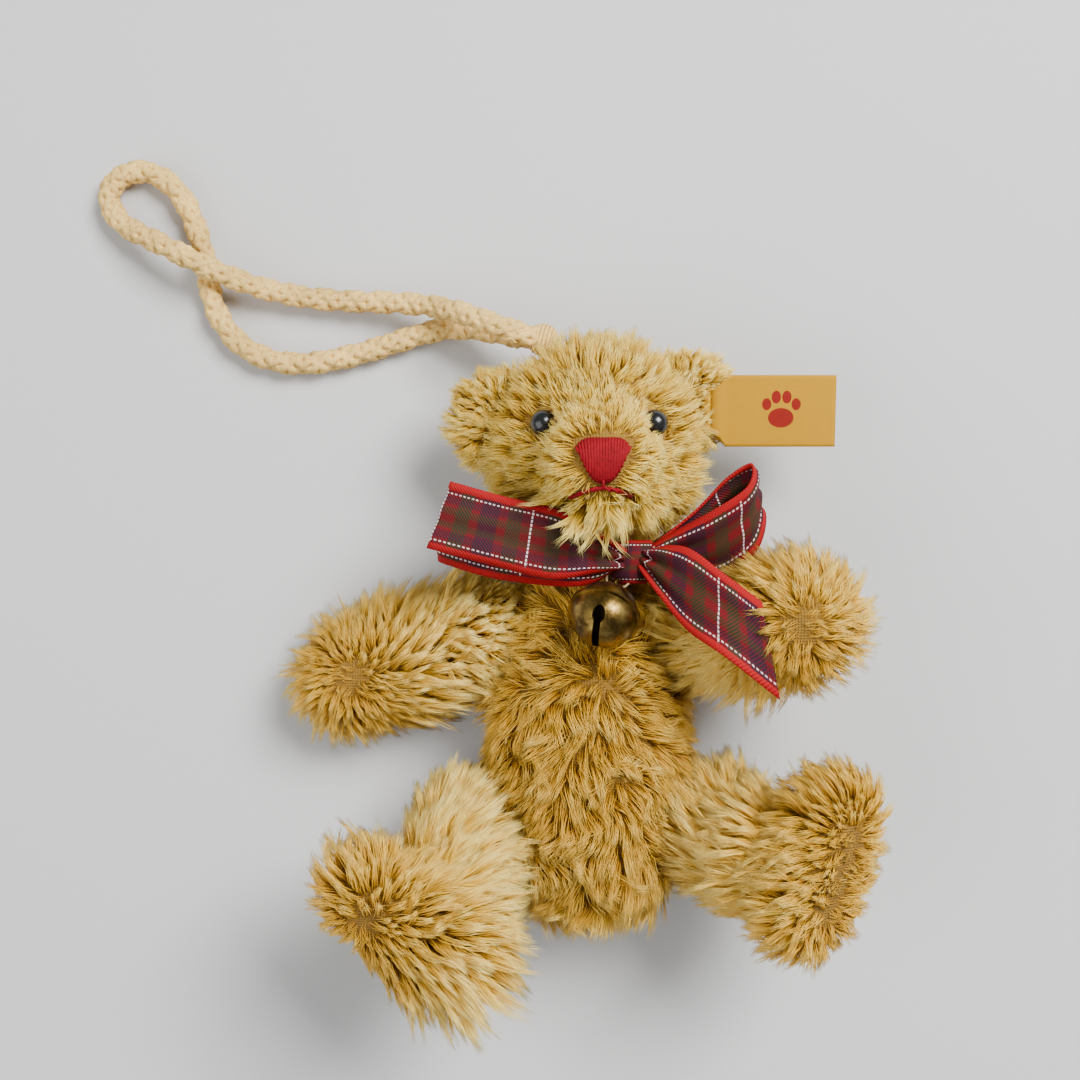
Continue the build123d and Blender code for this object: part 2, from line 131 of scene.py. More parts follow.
def keep_outer_shell(obj):
    """Deletes every closed surface of a mesh but the one with the most vertices."""
    work = bmesh.new()
    work.from_mesh(obj.data)
    unseen = set(work.verts)
    shells = []
    while unseen:
        stack = [unseen.pop()]
        shell = list(stack)
        while stack:
            vert = stack.pop()
            for edge in vert.link_edges:
                other = edge.other_vert(vert)
                if other in unseen:
                    unseen.discard(other)
                    stack.append(other)
                    shell.append(other)
        shells.append(shell)
    shells.sort(key=len)
    inner = [vert for shell in shells[:-1] for vert in shell]
    bmesh.ops.delete(work, geom=inner, context="VERTS")
    work.to_mesh(obj.data)
    work.free()


def filled(obj, farthest_move=0.5 * MM):
    """Presses a skin out from inside with a short cloth simulation of its enlarged copy."""
    rest = threes(obj.data.vertices, "co")
    obj.data.transform(Matrix.Scale(SIMULATED_SCALE, 4))
    cloth = obj.modifiers.new("filling", "CLOTH")
    cloth.settings.quality = 5
    cloth.settings.use_pressure = True
    cloth.settings.uniform_pressure_force = 4
    cloth.settings.effector_weights.gravity = 0
    cloth.point_cache.frame_start = 1
    cloth.point_cache.frame_end = SIMULATED_FRAMES
    scene = bpy.context.scene
    for frame_number in range(1, SIMULATED_FRAMES + 1):
        scene.frame_set(frame_number)
    apply_modifiers(obj)
    obj.data.transform(Matrix.Scale(1 / SIMULATED_SCALE, 4))
    scene.frame_set(1)
    move = threes(obj.data.vertices, "co") - rest
    size = np.linalg.norm(move, axis=1, keepdims=True)
    places = rest + move * np.minimum(1, farthest_move / np.maximum(size, 1e-9))
    obj.data.vertices.foreach_set("co", places.ravel())
    obj.data.update()


def cloth_form(name, parts, material, voxel, rounds):
    """One smooth closed skin over some CAD nodes: joined, remeshed, relaxed and filled."""
    copies = []
    for part in parts:
        copy = nodes[part].copy()
        copy.data = nodes[part].data.copy()
        copy.parent = None
        copies.append(link(copy))
    work = bmesh.new()
    for copy in copies:
        work.from_mesh(copy.data)
        bpy.data.objects.remove(copy)
    mesh = bpy.data.meshes.new(name)
    work.to_mesh(mesh)
    work.free()
    obj = link(bpy.data.objects.new(name, mesh))
    remesh = obj.modifiers.new("remesh", "REMESH")
    remesh.mode = "VOXEL"
    remesh.voxel_size = voxel
    relax = obj.modifiers.new("relax", "SMOOTH")
    relax.factor = 0.5
    relax.iterations = rounds
    apply_modifiers(obj)
    keep_outer_shell(obj)
    filled(obj)
    obj.modifiers.new("finer", "SUBSURF").levels = 1
    apply_modifiers(obj)
    obj.data.materials.clear()
    obj.data.materials.append(material)
    obj.data.polygons.foreach_set("use_smooth", [True] * len(obj.data.polygons))
    return obj


# ---------------- node shorthand

class Nodes:
    """Builds a material's node tree with short calls."""

    def __init__(self, name):
        self.material = bpy.data.materials.new(name)
        self.material.use_nodes = True
        self.tree = self.material.node_tree
        self.tree.nodes.clear()
        output = self.tree.nodes.new("ShaderNodeOutputMaterial")
        self.shader = self.tree.nodes.new("ShaderNodeBsdfPrincipled")
        self.tree.links.new(self.shader.outputs[0], output.inputs[0])

    def put(self, value, socket):
        """Links a socket, or sets a plain value."""
        if isinstance(value, bpy.types.NodeSocket):
            self.tree.links.new(value, socket)
        elif value is not None:
            socket.default_value = value

    def math(self, operation, a, b=None, clamp=False):
        node = self.tree.nodes.new("ShaderNodeMath")
        node.operation = operation
        node.use_clamp = clamp
        for value, socket in zip((a, b), node.inputs):
            self.put(value, socket)
        return node.outputs[0]

    def mix(self, factor, a, b):
        node = self.tree.nodes.new("ShaderNodeMix")
        node.data_type = "RGBA"
        self.put(factor, node.inputs[0])
        self.put(a, node.inputs[6])
        self.put(b, node.inputs[7])
        return node.outputs[2]

    def ramp(self, factor, stops):
        node = self.tree.nodes.new("ShaderNodeValToRGB")
        while len(node.color_ramp.elements) < len(stops):
            node.color_ramp.elements.new(0.5)
        for element, (position, colour) in zip(node.color_ramp.elements, stops):
            element.position = position
            element.color = colour
        self.put(factor, node.inputs[0])
        return node.outputs[0]

    def uv(self, name):
        node = self.tree.nodes.new("ShaderNodeUVMap")
        node.uv_map = name
        split = self.tree.nodes.new("ShaderNodeSeparateXYZ")
        self.put(node.outputs[0], split.inputs[0])
        return split.outputs[0], split.outputs[1]

    def position(self):
        """Object coordinates, which are the frame's metres."""
        return self.tree.nodes.new("ShaderNodeTexCoord").outputs["Object"]

    def noise(self, scale, detail=3, roughness=0.55):
        node = self.tree.nodes.new("ShaderNodeTexNoise")
        node.inputs["Scale"].default_value = scale
        node.inputs["Detail"].default_value = detail
        node.inputs["Roughness"].default_value = roughness
        self.put(self.position(), node.inputs["Vector"])
        return node.outputs[0]

    def wave(self, scale, direction, distortion):
        node = self.tree.nodes.new("ShaderNodeTexWave")
        node.bands_direction = direction
        node.inputs["Scale"].default_value = scale
        node.inputs["Distortion"].default_value = distortion
        self.put(self.position(), node.inputs["Vector"])
        return node.outputs[1]

    def bump(self, height, distance, strength=1.0):
        node = self.tree.nodes.new("ShaderNodeBump")
        node.inputs["Distance"].default_value = distance
        node.inputs["Strength"].default_value = strength
        self.put(height, node.inputs["Height"])
        self.put(node.outputs[0], self.shader.inputs["Normal"])

    def set(self, **values):
        """Sets the main shader's inputs; an underscore in a name stands for a space."""
        for name, value in values.items():
            self.put(value, self.shader.inputs[name.replace("_", " ")])
        return self.material


def rgb(red, green, blue):
    return (red, green, blue, 1)


def shaded(colour, share):
    """A colour darkened or lightened to a share of itself."""
    return rgb(*[channel * share for channel in colour])


# ---------------- materials

def fur_material(name, deep, body, tip):
    """Mohair strands: across the palette from shaded to pale, up it from root to tip, with the roots darkened as
    painted shade deep in the pile.
    """
    m = Nodes(name)
    shade, along = m.uv("OFBake")
    # Both ramps darken towards the root: painted shade inside the pile.
    dark = m.ramp(along, [(0, shaded(deep, 0.55)), (0.4, rgb(*deep)), (1, rgb(*body))])
    pale = m.ramp(along, [(0, rgb(*deep)), (0.45, rgb(*body)), (1, rgb(*tip))])
    return m.set(Base_Color=m.mix(shade, dark, pale), Roughness=0.5, Specular_IOR_Level=0.35)


def backing_material(name, colour):
    """Woven cotton backing: crossing threads with uneven dye, and a painted highlight on their raised crossings.
    """
    m = Nodes(name)
    x = m.wave(900, "X", 0.6)
    y = m.wave(900, "Y", 0.6)
    weave = m.math("MULTIPLY", x, y)
    dye = m.ramp(m.noise(500, 4), [(0.3, shaded(colour, 0.6)), (0.7, rgb(*colour))])
    # Painted highlight: the raised crossings of the threads are lightened towards a brighter copy of the colour.
    dye_and_thread_highlight = m.mix(m.math("MULTIPLY", weave, 0.35), dye, shaded(colour, 1.5))
    m.bump(m.math("ADD", weave, m.noise(1500)), 0.15 * MM)
    return m.set(Base_Color=dye_and_thread_highlight, Roughness=0.9)


def stripe(m, value, centre, half, soft=0.15):
    """1 inside a stripe round a centre, 0 outside, with a soft edge."""
    distance = m.math("ABSOLUTE", m.math("SUBTRACT", value, centre))
    return m.math("DIVIDE", m.math("SUBTRACT", half, distance), soft, clamp=True)


def ribbon_material():
    """Tartan: checks on dark red with red borders and fine white lines, in millimetres."""
    m = Nodes("tartan_ribbon")
    along, across = m.uv("Ribbon")
    edge = m.math("ABSOLUTE", across)
    check_length, far_back = 11.8, 200.0
    repeat = m.math("MODULO", m.math("ADD", along, far_back), check_length)
    dark_red = rgb(0.10, 0.0, 0.002)
    green = rgb(0.004, 0.022, 0.005)
    navy = rgb(0.004, 0.004, 0.014)
    cross_green = m.math("MAXIMUM", stripe(m, repeat, 2.6, 1.0), stripe(m, repeat, 9.2, 1.0))
    cross_navy = stripe(m, repeat, 5.9, 1.3)
    long_green = stripe(m, edge, 1.0, 0.55)
    long_navy = stripe(m, edge, 2.4, 0.6)
    colour = m.mix(m.math("MULTIPLY", cross_green, 0.8), dark_red, green)
    colour = m.mix(m.math("MULTIPLY", cross_navy, 0.8), colour, navy)
    colour = m.mix(m.math("MULTIPLY", long_green, 0.6), colour, green)
    colour = m.mix(m.math("MULTIPLY", long_navy, 0.55), colour, navy)
    twill = m.math("FRACT", m.math("MULTIPLY", m.math("ADD", along, across), 2.2))
    red_threads = m.math("MULTIPLY", m.math("GREATER_THAN", twill, 0.55), 0.35)
    colour = m.mix(red_threads, colour, rgb(0.17, 0.001, 0.003))
    dashes = m.math("GREATER_THAN", m.math("FRACT", m.math("MULTIPLY", along, 1.7)), 0.45)
    white = m.math("MULTIPLY", stripe(m, edge, 3.35, 0.13, 0.08), dashes)
    cross_dashes = m.math("GREATER_THAN", m.math("FRACT", m.math("MULTIPLY", across, 1.9)), 0.3)
    white_cross = m.math("MULTIPLY", stripe(m, repeat, 0.4, 0.14, 0.08), cross_dashes)
    colour = m.mix(m.math("MAXIMUM", white, white_cross), colour, rgb(0.72, 0.62, 0.6))
    border = m.math("GREATER_THAN", edge, 3.85)
    colour = m.mix(border, colour, rgb(0.30, 0.0, 0.002))
    rib = m.math("SINE", m.math("MULTIPLY", m.math("ADD", along, across), 14.0))
    m.bump(m.math("ADD", rib, m.noise(1500)), 0.05 * MM, 0.7)
    return m.set(Base_Color=colour, Roughness=0.75, Specular_IOR_Level=0.25)


def brass_material():
    """Aged brass: dark hollows, rubbed bright spots and a fine grain."""
    m = Nodes("aged_brass")
    wear = m.noise(260, 6, roughness=0.7)
    colour = m.ramp(wear, [(0.38, rgb(0.05, 0.03, 0.008)),
                           (0.54, rgb(0.22, 0.14, 0.035)),
                           (0.72, rgb(0.55, 0.40, 0.13))])
    rough = m.math("SUBTRACT", 0.5, m.math("MULTIPLY", wear, 0.3))
    m.bump(m.noise(1800, 4), 0.03 * MM, 0.6)
    return m.set(Base_Color=colour, Metallic=1.0, Roughness=rough)


def eye_material():
    """Black glass bead with a faint bloom."""
    m = Nodes("glass_eye")
    colour = m.ramp(m.noise(400, 2), [(0.4, rgb(0.006, 0.006, 0.006)), (0.75, rgb(0.02, 0.02, 0.02))])
    return m.set(Base_Color=colour, Roughness=0.22, Specular_IOR_Level=0.5)


def yarn_material(name, colour):
    """Cotton yarn: fine fibres with painted shade between them, and uneven dye."""
    m = Nodes(name)
    fibre = m.noise(2600, 4)
    dye = m.noise(220, 3)
    # Darker where the fibre bump is low, as painted shade between the fibres, and unevenly dyed.
    fibre_shade_and_dye = m.ramp(m.math("MULTIPLY", m.math("ADD", fibre, dye), 0.5),
                 [(0.35, shaded(colour, 0.55)), (0.62, rgb(*colour))])
    m.bump(fibre, 0.06 * MM)
    return m.set(Base_Color=fibre_shade_and_dye, Roughness=0.8, Specular_IOR_Level=0.2)


def tag_material():
    """Yellow woven label with a small red paw print, in millimetres from its middle."""
    m = Nodes("woven_tag")
    x, y = m.uv("Tag")
    warp = m.math("SINE", m.math("MULTIPLY", x, 22.0))
    weft = m.math("SINE", m.math("MULTIPLY", y, 26.0))
    weave = m.math("MULTIPLY", warp, weft)
    painted_weave_light = m.math("MULTIPLY", m.math("ADD", weave, 1.0), 0.5)
    # Painted light and shade: the raised threads are a lighter yellow and the weave's hollows a darker one.
    colour = m.mix(painted_weave_light, rgb(0.42, 0.20, 0.0), rgb(0.54, 0.27, 0.0))
    paw = None
    for centre_x, centre_y, radius_x, radius_y in PAW_PADS:
        dx = m.math("DIVIDE", m.math("SUBTRACT", x, centre_x), radius_x)
        dy = m.math("DIVIDE", m.math("SUBTRACT", y, centre_y), radius_y)
        squares = m.math("ADD", m.math("MULTIPLY", dx, dx), m.math("MULTIPLY", dy, dy))
        inside = m.math("LESS_THAN", squares, 1.0)
        paw = inside if paw is None else m.math("MAXIMUM", paw, inside)
    colour = m.mix(paw, colour, rgb(0.24, 0.008, 0.003))
    m.bump(weave, 0.05 * MM, 0.8)
    return m.set(Base_Color=colour, Roughness=0.7, Specular_IOR_Level=0.25)


def filling_material(name, colour):
    """Matted fibre."""
    m = Nodes(name)
    tangle = m.noise(700, 6, roughness=0.7)
    m.bump(tangle, 0.3 * MM)
    tone = m.ramp(tangle, [(0.3, shaded(colour, 0.6)), (0.7, rgb(*colour))])
    return m.set(Base_Color=tone, Roughness=0.95)


def plain_part_material(name, colour, metallic=0.0, roughness=0.45):
    """Moulded or turned small part, with faint unevenness."""
    m = Nodes(name)
    grain = m.noise(900, 3)
    tone = m.ramp(grain, [(0.3, shaded(colour, 0.8)), (0.7, rgb(*colour))])
    m.bump(grain, 0.02 * MM)
    return m.set(Base_Color=tone, Roughness=roughness, Metallic=metallic)


# Middle and half sizes of the paw's pads on the tag, in millimetres.
PAW_PADS = [(0.0, -0.9, 1.7, 1.3), (-1.9, 0.9, 0.62, 0.8), (-0.65, 1.85, 0.62, 0.85),
            (0.75, 1.85, 0.62, 0.85), (2.0, 0.9, 0.62, 0.8)]
# Each fur's first colour is for the roots, darkened there as painted shade in the pile.
BODY_FUR = fur_material("mohair_body", (0.48, 0.215, 0.004), (0.88, 0.535, 0.035), (1.0, 0.85, 0.31))
HEAD_FUR = fur_material("mohair_head", (0.54, 0.27, 0.006), (0.90, 0.60, 0.045), (1.0, 0.88, 0.36))
BACKING = backing_material("mohair_backing", (0.25, 0.125, 0.008))
TARTAN = ribbon_material()
BRASS = brass_material()
CORD = yarn_material("braided_cord", (0.84, 0.55, 0.17))
THREAD = yarn_material("thread", (0.34, 0.24, 0.12))
EMBROIDERY = yarn_material("embroidery_floss", (0.25, 0.0, 0.006))
CAD_MATERIALS = {
    "stuffing": filling_material("fibre_filling", (0.42, 0.22, 0.06)),
    "joint_button": plain_part_material("moulded_button", (0.85, 0.82, 0.75)),
    "thread": THREAD,
    "bell": BRASS,
    "pellet": plain_part_material("steel_pellet", (0.5, 0.5, 0.5), 1.0, 0.35),
    "cord": CORD,
    "eye": eye_material(),
}


# ---------------- cloth skins

# Each skin's body, and the CAD nodes it covers.
SKINS = {
    "torso": ("torso", ["torso_left_panel", "torso_right_panel"]),
    "head": ("head", ["head_left_panel", "head_right_panel", "head_gusset"]),
}
for side in ("left", "right"):
    SKINS[f"ear_{side}"] = ("head", [f"ear_{side}_front", f"ear_{side}_back"])
    SKINS[f"arm_{side}"] = (f"arm_{side}", [f"arm_{side}_inner_panel", f"arm_{side}_outer_panel"])
    SKINS[f"leg_{side}"] = (f"leg_{side}", [f"leg_{side}_inner_panel", f"leg_{side}_outer_panel",
                                            f"leg_{side}_sole"])

skins = {}
for skin_name, (skin_body, skin_nodes) in SKINS.items():
    voxel, rounds = (0.5 * MM, 3) if skin_name.startswith("ear") else (0.8 * MM, 8)
    skin = cloth_form(f"{skin_name}_cloth", skin_nodes, BACKING, voxel, rounds)
    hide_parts(*skin_nodes)
    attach(skin, skin_body)
    skins[skin_name] = skin


# ---------------- ribbons

def smooth_rows(rows, count):
    """Resamples rows of points along a smooth curve through them."""
    rows = np.array(rows, float)
    ends = np.concatenate([rows[:1] * 2 - rows[1:2], rows, rows[-1:] * 2 - rows[-2:-1]])
    places = np.linspace(0, len(rows) - 1 - 1e-9, count)
    index = places.astype(int)
    t = (places - index).reshape((-1,) + (1,) * (rows.ndim - 1))
    a, b, c, d = ends[index], ends[index + 1], ends[index + 2], ends[index + 3]
    square = (2 * a - 5 * b + 4 * c - d) * t ** 2
    cube = (3 * b - a - 3 * c + d) * t ** 3
    return 0.5 * (2 * b + (c - a) * t + square + cube)


def sheet(name, grid, material, thickness, uv_name, uv_grid, closed=False):
    """A sheet with thickness through a grid of points, with a texture grid in millimetres."""
    rows, columns = grid.shape[:2]
    faces = []
    for row in range(rows if closed else rows - 1):
        after = (row + 1) % rows
        for column in range(columns - 1):
            faces.append((row * columns + column, after * columns + column,
                          after * columns + column + 1, row * columns + column + 1))
    obj = object_from(name, grid.reshape(-1, 3), faces, material)
    layer = obj.data.uv_layers.new(name=uv_name)
    spots = uv_grid.reshape(-1, 2)
    corner_points = np.empty(len(obj.data.loops), np.int32)
    obj.data.loops.foreach_get("vertex_index", corner_points)
    layer.data.foreach_set("uv", spots[corner_points].astype(np.float32).ravel())
    thicken = obj.modifiers.new("thickness", "SOLIDIFY")
    thicken.thickness = thickness
    thicken.offset = 0
    return apply_modifiers(obj)


def ribbon(name, rows, replaced, ripple=0.25):
    """A ribbon whose two edges run through rows of (upper, lower) places in millimetres."""
    count, across = 64, 13
    edges = smooth_rows(rows, count) * MM
    weights = np.linspace(0, 1, across)[None, :, None]
    grid = edges[:, :1] * (1 - weights) + edges[:, 1:] * weights
    centre = edges.mean(1)
    steps = np.linalg.norm(np.diff(centre, axis=0), axis=1)
    distance = np.concatenate([[0], np.cumsum(steps)]) / MM
    width_way = edges[:, 1] - edges[:, 0]
    length_way = np.gradient(centre, axis=0)
    lift = np.cross(length_way, width_way)
    lift /= np.linalg.norm(lift, axis=1, keepdims=True) + 1e-12
    wide = np.linalg.norm(width_way, axis=1) / MM
    gathered = np.clip(1.3 - wide / (2 * RIBBON_HALF_WIDTH), 0, 1)
    fold = np.cos(np.linspace(0, 5 * math.pi, across))[None, :] * gathered[:, None] * 0.7
    sway = np.sin(distance / 3.1)[:, None] * np.linspace(-1, 1, across)[None, :] ** 2 * ripple
    grid = grid + lift[:, None, :] * (fold + sway)[:, :, None] * MM
    uv_grid = np.empty((count, across, 2))
    uv_grid[..., 0] = distance[:, None]
    uv_grid[..., 1] = np.linspace(-RIBBON_HALF_WIDTH, RIBBON_HALF_WIDTH, across)[None, :]
    obj = sheet(name, grid, TARTAN, RIBBON_THICKNESS, "Ribbon", uv_grid)
    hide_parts(replaced)
    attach(obj, "torso")
    return obj


KNOT = np.array(middle("bow_knot") / MM)


def near_knot(*rows):
    """Rows of (upper, lower) offsets from the knot's middle, in millimetres."""
    return [[KNOT + np.array(upper), KNOT + np.array(lower)] for upper, lower in rows]


ribbons = [
    ribbon("ribbon_tail_right", near_knot(
        ((-1.4, 1.4, 2.4), (-1.6, -0.9, 2.4)), ((-5.0, 4.0, 4.6), (-5.6, -1.4, 4.6)),
        ((-9.8, 6.6, 5.4), (-10.8, -2.0, 5.4)), ((-16.4, 8.2, 5.4), (-18.2, -0.3, 5.0)),
        ((-23.1, 10.1, 4.2), (-26.2, 1.8, 3.4))), "bow_tail_right", 0.4),
    ribbon("ribbon_loop_right", near_knot(
        ((-1.4, 1.2, 1.2), (-1.8, -0.8, 1.2)), ((-6.4, 4.0, 2.9), (-7.0, -3.0, 2.8)),
        ((-15.4, 6.2, 3.4), (-16.9, -2.2, 3.0)), ((-22.0, 7.7, 1.8), (-23.6, -0.4, 1.6)),
        ((-23.4, 8.0, 0.0), (-25.0, 0.2, -0.1)), ((-21.8, 7.6, -1.6), (-23.4, -0.4, -1.5)),
        ((-14.0, 5.6, -1.4), (-15.2, -2.2, -1.4)), ((-1.6, 1.2, -0.4), (-1.6, -0.8, -0.4))),
        "bow_loop_right"),
    ribbon("ribbon_loop_left", near_knot(
        ((1.6, 1.6, 1.6), (1.8, -0.6, 1.4)), ((4.6, 3.5, 3.0), (5.4, -1.7, 1.4)),
        ((9.2, 6.2, 6.0), (10.4, -2.0, 1.6)), ((13.6, 9.4, 7.0), (15.0, 1.4, 1.8)),
        ((14.4, 12.4, 5.6), (16.2, 6.4, 0.8)), ((11.0, 10.6, 3.6), (13.1, 5.6, -1.2)),
        ((7.0, 6.2, 1.8), (7.2, 1.2, -1.8)), ((1.6, 1.6, 0.2), (1.6, 0.2, -0.4))),
        "bow_loop_left"),
    ribbon("ribbon_tail_left", near_knot(
        ((1.4, 1.6, 2.4), (0.8, -0.6, 2.6)), ((3.6, 2.2, 4.4), (2.6, -3.8, 5.0)),
        ((6.6, 1.6, 7.2), (6.0, -8.2, 7.6)), ((10.6, -1.4, 9.2), (10.6, -11.4, 9.6)),
        ((14.9, -4.7, 10.2), (17.2, -16.7, 9.6))), "bow_tail_left", 0.4),
]


def neck_ring(radius=6.95, half_width=1.8):
    """Rows of (upper, lower) places round the neck, in millimetres."""
    centre = np.array(middle("ribbon_collar")) / MM
    rise = np.array((0, half_width, 0))
    rows = []
    for turn in np.linspace(0, 2 * math.pi, 17):
        spoke = np.array((math.sin(turn), 0, math.cos(turn))) * radius
        rows.append([centre + spoke + rise, centre + spoke - rise])
    return rows


ribbons.append(ribbon("ribbon_band", neck_ring(), "ribbon_collar", 0.05))


def wrapped_knot():
    """The knot: a band of ribbon pulled round the gathered bow, with creases."""
    count, across = 60, 17
    turn = np.linspace(0, 2 * math.pi, count, endpoint=False)[:, None]
    lean = np.linspace(-1.15, 1.15, across)[None, :]
    crease = 1 - 0.07 * np.cos(lean * 9 + 1.3 * np.sin(turn)) ** 2
    x = 3.0 * np.cos(turn) * np.cos(lean * 0.8) * crease
    z = 2.9 * np.sin(turn) * np.cos(lean * 0.8) * crease
    y = 3.0 * np.sin(lean * 0.98) + 0 * turn
    grid = (np.stack([x + 0.12 * y, y, z], -1) + KNOT) * MM
    uv_grid = np.stack([turn * 3.0 + 0 * lean, lean * 4.2 + 0 * turn], -1)
    obj = sheet("ribbon_knot", grid, TARTAN, 0.25 * MM, "Ribbon", uv_grid, closed=True)
    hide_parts("bow_knot")
    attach(obj, "torso")
    return obj


ribbons.append(wrapped_knot())


# ---------------- threads and cord

def tube(paths, radius, sides=6):
    """Points and faces of round tubes along paths, with closed ends."""
    points, faces = [], []
    for path in paths:
        path = np.array(path, float)
        ways = np.gradient(path, axis=0)
        ways /= np.linalg.norm(ways, axis=1, keepdims=True)
        side_way = np.cross(ways[0], (0.31, 0.52, 0.79))
        first = len(points)
        for place, way in zip(path, ways):
            side_way = side_way - way * side_way.dot(way)
            side_way = side_way / np.linalg.norm(side_way)
            other = np.cross(way, side_way)
            for step in range(sides):
                angle = 2 * math.pi * step / sides
                points.append(place + radius * (math.cos(angle) * side_way + math.sin(angle) * other))
        for ring in range(len(path) - 1):
            here = first + ring * sides
            for step in range(sides):
                after = (step + 1) % sides
                faces.append((here + step, here + after, here + sides + after, here + sides + step))
        last = first + (len(path) - 1) * sides
        faces.append(tuple(first + step for step in reversed(range(sides))))
        faces.append(tuple(last + step for step in range(sides)))
    return points, faces


def clamped_spline(points, start_way, end_way, count):
    """A curve with even curvature through points, with both end directions set."""
    points = np.array(points, float)
    gaps = np.linalg.norm(np.diff(points, axis=0), axis=1)
    stops = np.concatenate([[0], np.cumsum(gaps)])
    size = len(points)
    system = np.zeros((size, size))
    right = np.zeros((size, 3))
    system[0, 0] = system[-1, -1] = 1
    right[0], right[-1] = start_way, end_way
    for i in range(1, size - 1):
        system[i, i - 1] = gaps[i]
        system[i, i] = 2 * (gaps[i - 1] + gaps[i])
        system[i, i + 1] = gaps[i - 1]
        before = (points[i] - points[i - 1]) / gaps[i - 1]
        after = (points[i + 1] - points[i]) / gaps[i]
        right[i] = 3 * (gaps[i] * before + gaps[i - 1] * after)
    slopes = np.linalg.solve(system, right)
    places = np.linspace(0, stops[-1], count)
    index = np.clip(np.searchsorted(stops, places, side="right") - 1, 0, size - 2)
    gap = gaps[index][:, None]
    t = ((places - stops[index]) / gaps[index])[:, None]
    return ((2 * t ** 3 - 3 * t ** 2 + 1) * points[index] + (t ** 3 - 2 * t ** 2 + t) * gap * slopes[index]
            + (3 * t ** 2 - 2 * t ** 3) * points[index + 1] + (t ** 3 - t ** 2) * gap * slopes[index + 1])


# The loop's way from the head, round its eye and back, in millimetres.
CORD_LOOP = [(-20.7, 59.3, 5.8), (-28.5, 60.4, 3.2), (-36.3, 60.9, 2.2), (-47.6, 63, 3.4),
             (-54.6, 65.8, 5.3), (-61.7, 69.4, 3.8), (-66.6, 72.9, 1.9), (-67.5, 76, 1.7),
             (-65.4, 78.6, 1.7), (-61.6, 78.9, 1.7), (-58, 76.4, 1.7), (-55.2, 71, 1.7),
             (-53.9, 65.8, 1.7), (-52.2, 59, 1.7), (-48, 54, 1.7), (-41.9, 52, 1.7),
             (-34.8, 52.7, 1.7), (-26.8, 55, 1.9), (-19.3, 56.8, 2.5)]
CORD_HEADING = (-0.979, 0.205, 0)    # the way both ends of the cord leave the head


def braided_cord():
    """Eight yarns plaited round a core, along the loop the CAD cord follows."""
    heading = np.array(CORD_HEADING) / math.hypot(*CORD_HEADING)
    lead = np.array(pivot("cord_swing")) / MM + heading * 2.95
    rise = np.array((0, 0, 1.68))
    tuck = [np.array(pivot("cord_swing")) / MM + heading * 0.9 + rise * side for side in (0.45, -0.45)]
    path = clamped_spline([tuck[0], lead + rise, *CORD_LOOP, lead - rise, tuck[1]], heading, -heading, 430)
    ways = np.gradient(path, axis=0)
    ways /= np.linalg.norm(ways, axis=1, keepdims=True)
    sides = [np.array((0.0, 0.0, 1.0))]
    for way in ways:
        flat = sides[-1] - way * sides[-1].dot(way)
        sides.append(flat / np.linalg.norm(flat))
    sides = np.array(sides[1:])
    others = np.cross(ways, sides)
    steps = np.linalg.norm(np.diff(path, axis=0), axis=1)
    distance = np.concatenate([[0], np.cumsum(steps)])
    turn_length, lay_radius, yarn_radius, weave = 8.4, 0.98, 0.6, 0.15
    yarns = [path * MM]
    for hand in (-1, 1):
        for start in range(4):
            turn = 2 * math.pi * distance / turn_length
            angle = hand * turn + start * math.pi / 2 + (hand > 0) * math.pi / 4
            over = np.cos(4 * turn + start * math.pi)
            radius = lay_radius + hand * weave * over
            yarn = path + (sides * np.cos(angle)[:, None] + others * np.sin(angle)[:, None]) * radius[:, None]
            yarns.append(yarn * MM)
    core_points, core_faces = tube(yarns[:1], 1.2 * MM, 8)
    yarn_points, yarn_faces = tube(yarns[1:], yarn_radius * MM, 6)
    shift = len(core_points)
    faces = core_faces + [tuple(index + shift for index in face) for face in yarn_faces]
    obj = object_from("cord_braid", core_points + yarn_points, faces, CORD)
    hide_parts("hang_cord")
    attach(obj, "hang_cord")
    return obj


def cord_binding():
    """Thread wound round the place where both ends of the cord leave the head."""
    centre = np.array(pivot("cord_swing"))
    axis = Vector(CORD_HEADING).normalized()
    side_way = axis.cross(UP).normalized()
    other = axis.cross(side_way)
    windings, ball_radius, half_height = 11, 2.0, 1.9
    turns = np.linspace(0, 1, 260)
    angle = turns * 2 * math.pi * windings
    height = np.cos(turns * math.pi) * half_height
    radius = np.sqrt(ball_radius ** 2 - height ** 2) + 0.05
    wound = (centre + (np.outer(height, axis) + np.outer(radius * np.cos(angle), side_way)
                       + np.outer(radius * np.sin(angle), other)) * MM)
    points, faces = tube([wound], 0.28 * MM, 6)
    obj = object_from("cord_binding_thread", points, faces, CORD)
    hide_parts("cord_whipping")
    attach(obj, "cord_whipping")


cord_braid = braided_cord()
cord_binding()


# ---------------- face

FACE_UP = -Vector(joints["tag_flap"]["axis"]).normalized()
FACE_RIGHT = Vector((1, 0, 0))
FACE_OUT = FACE_RIGHT.cross(FACE_UP)
head_surface = BVHTree.FromObject(skins["head"], bpy.context.evaluated_depsgraph_get())


def on_face(x, y, proud=0.0):
    """A place on the front of the head, given across and up from its middle in millimetres."""
    start = HEAD + (FACE_RIGHT * x + FACE_UP * y + FACE_OUT * 40) * MM
    hit = head_surface.ray_cast(start, -FACE_OUT)[0]
    return np.array(hit + FACE_OUT * proud * MM)


